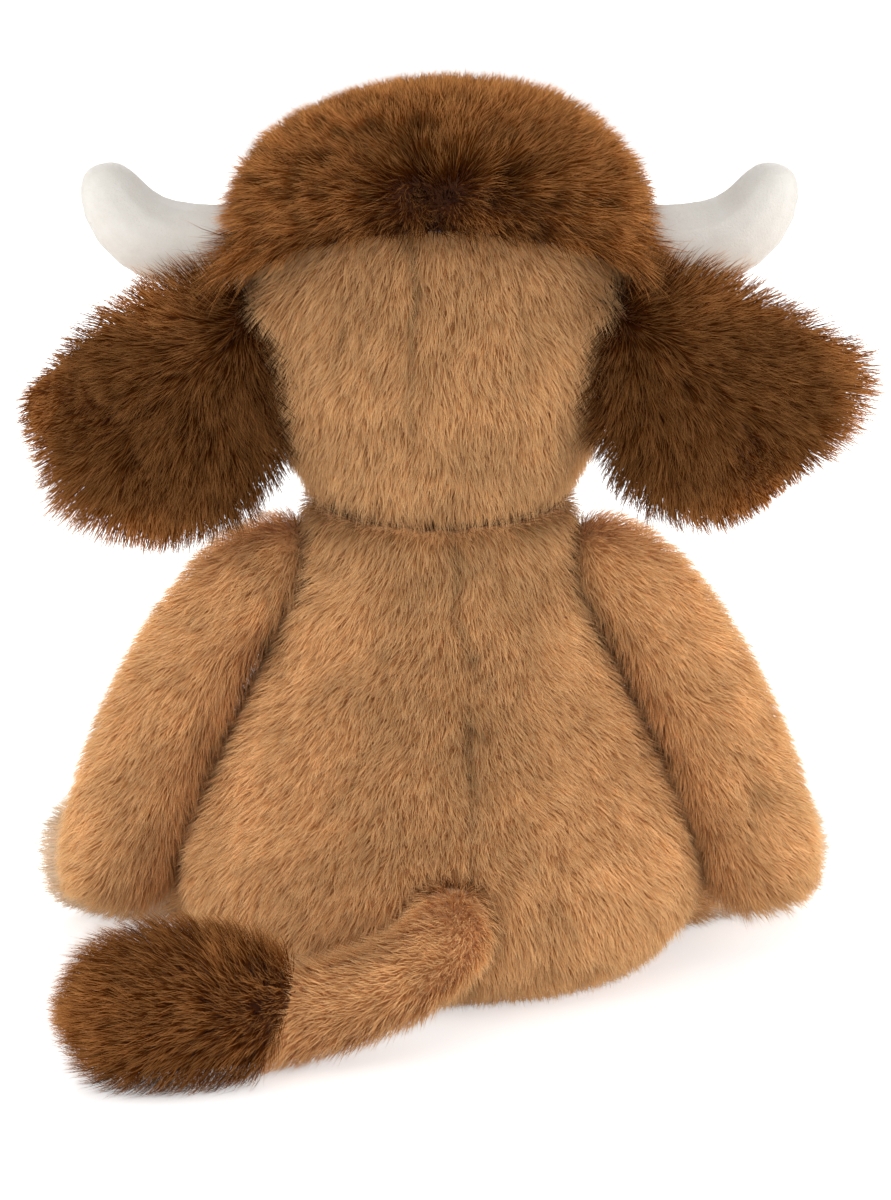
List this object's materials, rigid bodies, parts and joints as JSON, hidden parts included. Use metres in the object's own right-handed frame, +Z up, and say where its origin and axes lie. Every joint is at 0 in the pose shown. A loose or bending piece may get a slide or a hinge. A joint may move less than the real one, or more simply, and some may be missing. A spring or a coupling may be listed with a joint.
{
  "type": "plush cow",
  "caption": "Seated plush cow with curved stuffed horns, long-pile crown and ears, a turning head, limbs that lift and a tufted tail that lies on the floor",
  "frame": {"origin": "centre of the flat underside of the torso, which rests on the floor", "axes": "+Z up, the toy faces -Y, its left side is +X, so that the tail lies behind it on +Y and to +X"},
  "size_m": [0.2501, 0.2085, 0.2646],
  "materials": {
    "light_pile": "light brown plush pile",
    "dark_pile": "dark brown long pile",
    "horn_nap": "off-white short nap",
    "muzzle_nap": "pale peach short nap",
    "lining_nap": "tan short nap",
    "thread": "dark brown embroidery",
    "stuffing": "white polyester fibre",
    "pouch_cloth": "plain woven cloth",
    "eye_plastic": "glossy near-black",
    "washer_plastic": "matte white"
  },
  "bodies": {
    "torso": {"torso_skin_left": "light_pile", "torso_skin_right": "light_pile", "torso_base": "light_pile", "torso_stuffing": "stuffing", "bean_pouch": "pouch_cloth"},
    "head": {"head_skin_left": "light_pile", "head_skin_right": "light_pile", "head_stuffing": "stuffing", "crown_cap": "dark_pile", "muzzle_skin": "muzzle_nap", "muzzle_stuffing": "stuffing", "nostril_left": "thread", "nostril_right": "thread", "eye_left": "eye_plastic", "eye_right": "eye_plastic", "eye_washer_left": "washer_plastic", "eye_washer_right": "washer_plastic", "horn_skin_left": "horn_nap", "horn_skin_right": "horn_nap", "horn_stuffing_left": "stuffing", "horn_stuffing_right": "stuffing"},
    "ear_left": {"ear_back_left": "dark_pile", "ear_lining_left": "lining_nap"},
    "ear_right": {"ear_back_right": "dark_pile", "ear_lining_right": "lining_nap"},
    "arm_left": {"arm_skin_left": "light_pile", "arm_stuffing_left": "stuffing"},
    "arm_right": {"arm_skin_right": "light_pile", "arm_stuffing_right": "stuffing"},
    "leg_left": {"leg_skin_left": "light_pile", "leg_stuffing_left": "stuffing", "sole_left": "muzzle_nap"},
    "leg_right": {"leg_skin_right": "light_pile", "leg_stuffing_right": "stuffing", "sole_right": "muzzle_nap"},
    "tail": {"tail_skin": "light_pile", "tail_stuffing": "stuffing", "tail_tuft": "dark_pile"}
  },
  "joints": [
    {"name": "head_turn", "type": "hinge", "parent": "torso", "child": "head", "pos_m": [0, 0, 0.1385], "axis": [0, 0, 1], "range_deg": [-30, 30]},
    {"name": "ear_flap_left", "type": "hinge", "parent": "head", "child": "ear_left", "pos_m": [0.05191, 0.019, 0.20542], "axis": [0.6691, 0, 0.7431], "range_deg": [0, 18], "stiffness_Nm_per_rad": 0.02},
    {"name": "ear_flap_right", "type": "hinge", "parent": "head", "child": "ear_right", "pos_m": [-0.04841, 0.026, 0.20542], "axis": [0.5446, 0, -0.8387], "range_deg": [0, 18], "stiffness_Nm_per_rad": 0.02},
    {"name": "arm_lift_left", "type": "hinge", "parent": "torso", "child": "arm_left", "pos_m": [0.0538, 0, 0.126], "axis": [0, -1, 0], "range_deg": [0, 35]},
    {"name": "arm_lift_right", "type": "hinge", "parent": "torso", "child": "arm_right", "pos_m": [-0.0538, 0, 0.126], "axis": [0, 1, 0], "range_deg": [0, 35]},
    {"name": "leg_lift_left", "type": "hinge", "parent": "torso", "child": "leg_left", "pos_m": [0.06722, -0.0316, 0.0205], "axis": [-0.342, -0.9397, 0], "range_deg": [0, 25]},
    {"name": "leg_lift_right", "type": "hinge", "parent": "torso", "child": "leg_right", "pos_m": [-0.06722, -0.0316, 0.0205], "axis": [-0.5446, 0.8387, 0], "range_deg": [0, 25]},
    {"name": "tail_swing", "type": "hinge", "parent": "torso", "child": "tail", "pos_m": [-0.004, 0.06812, 0.032], "axis": [0, 0, 1], "range_deg": [-15, 30]}
  ]
}
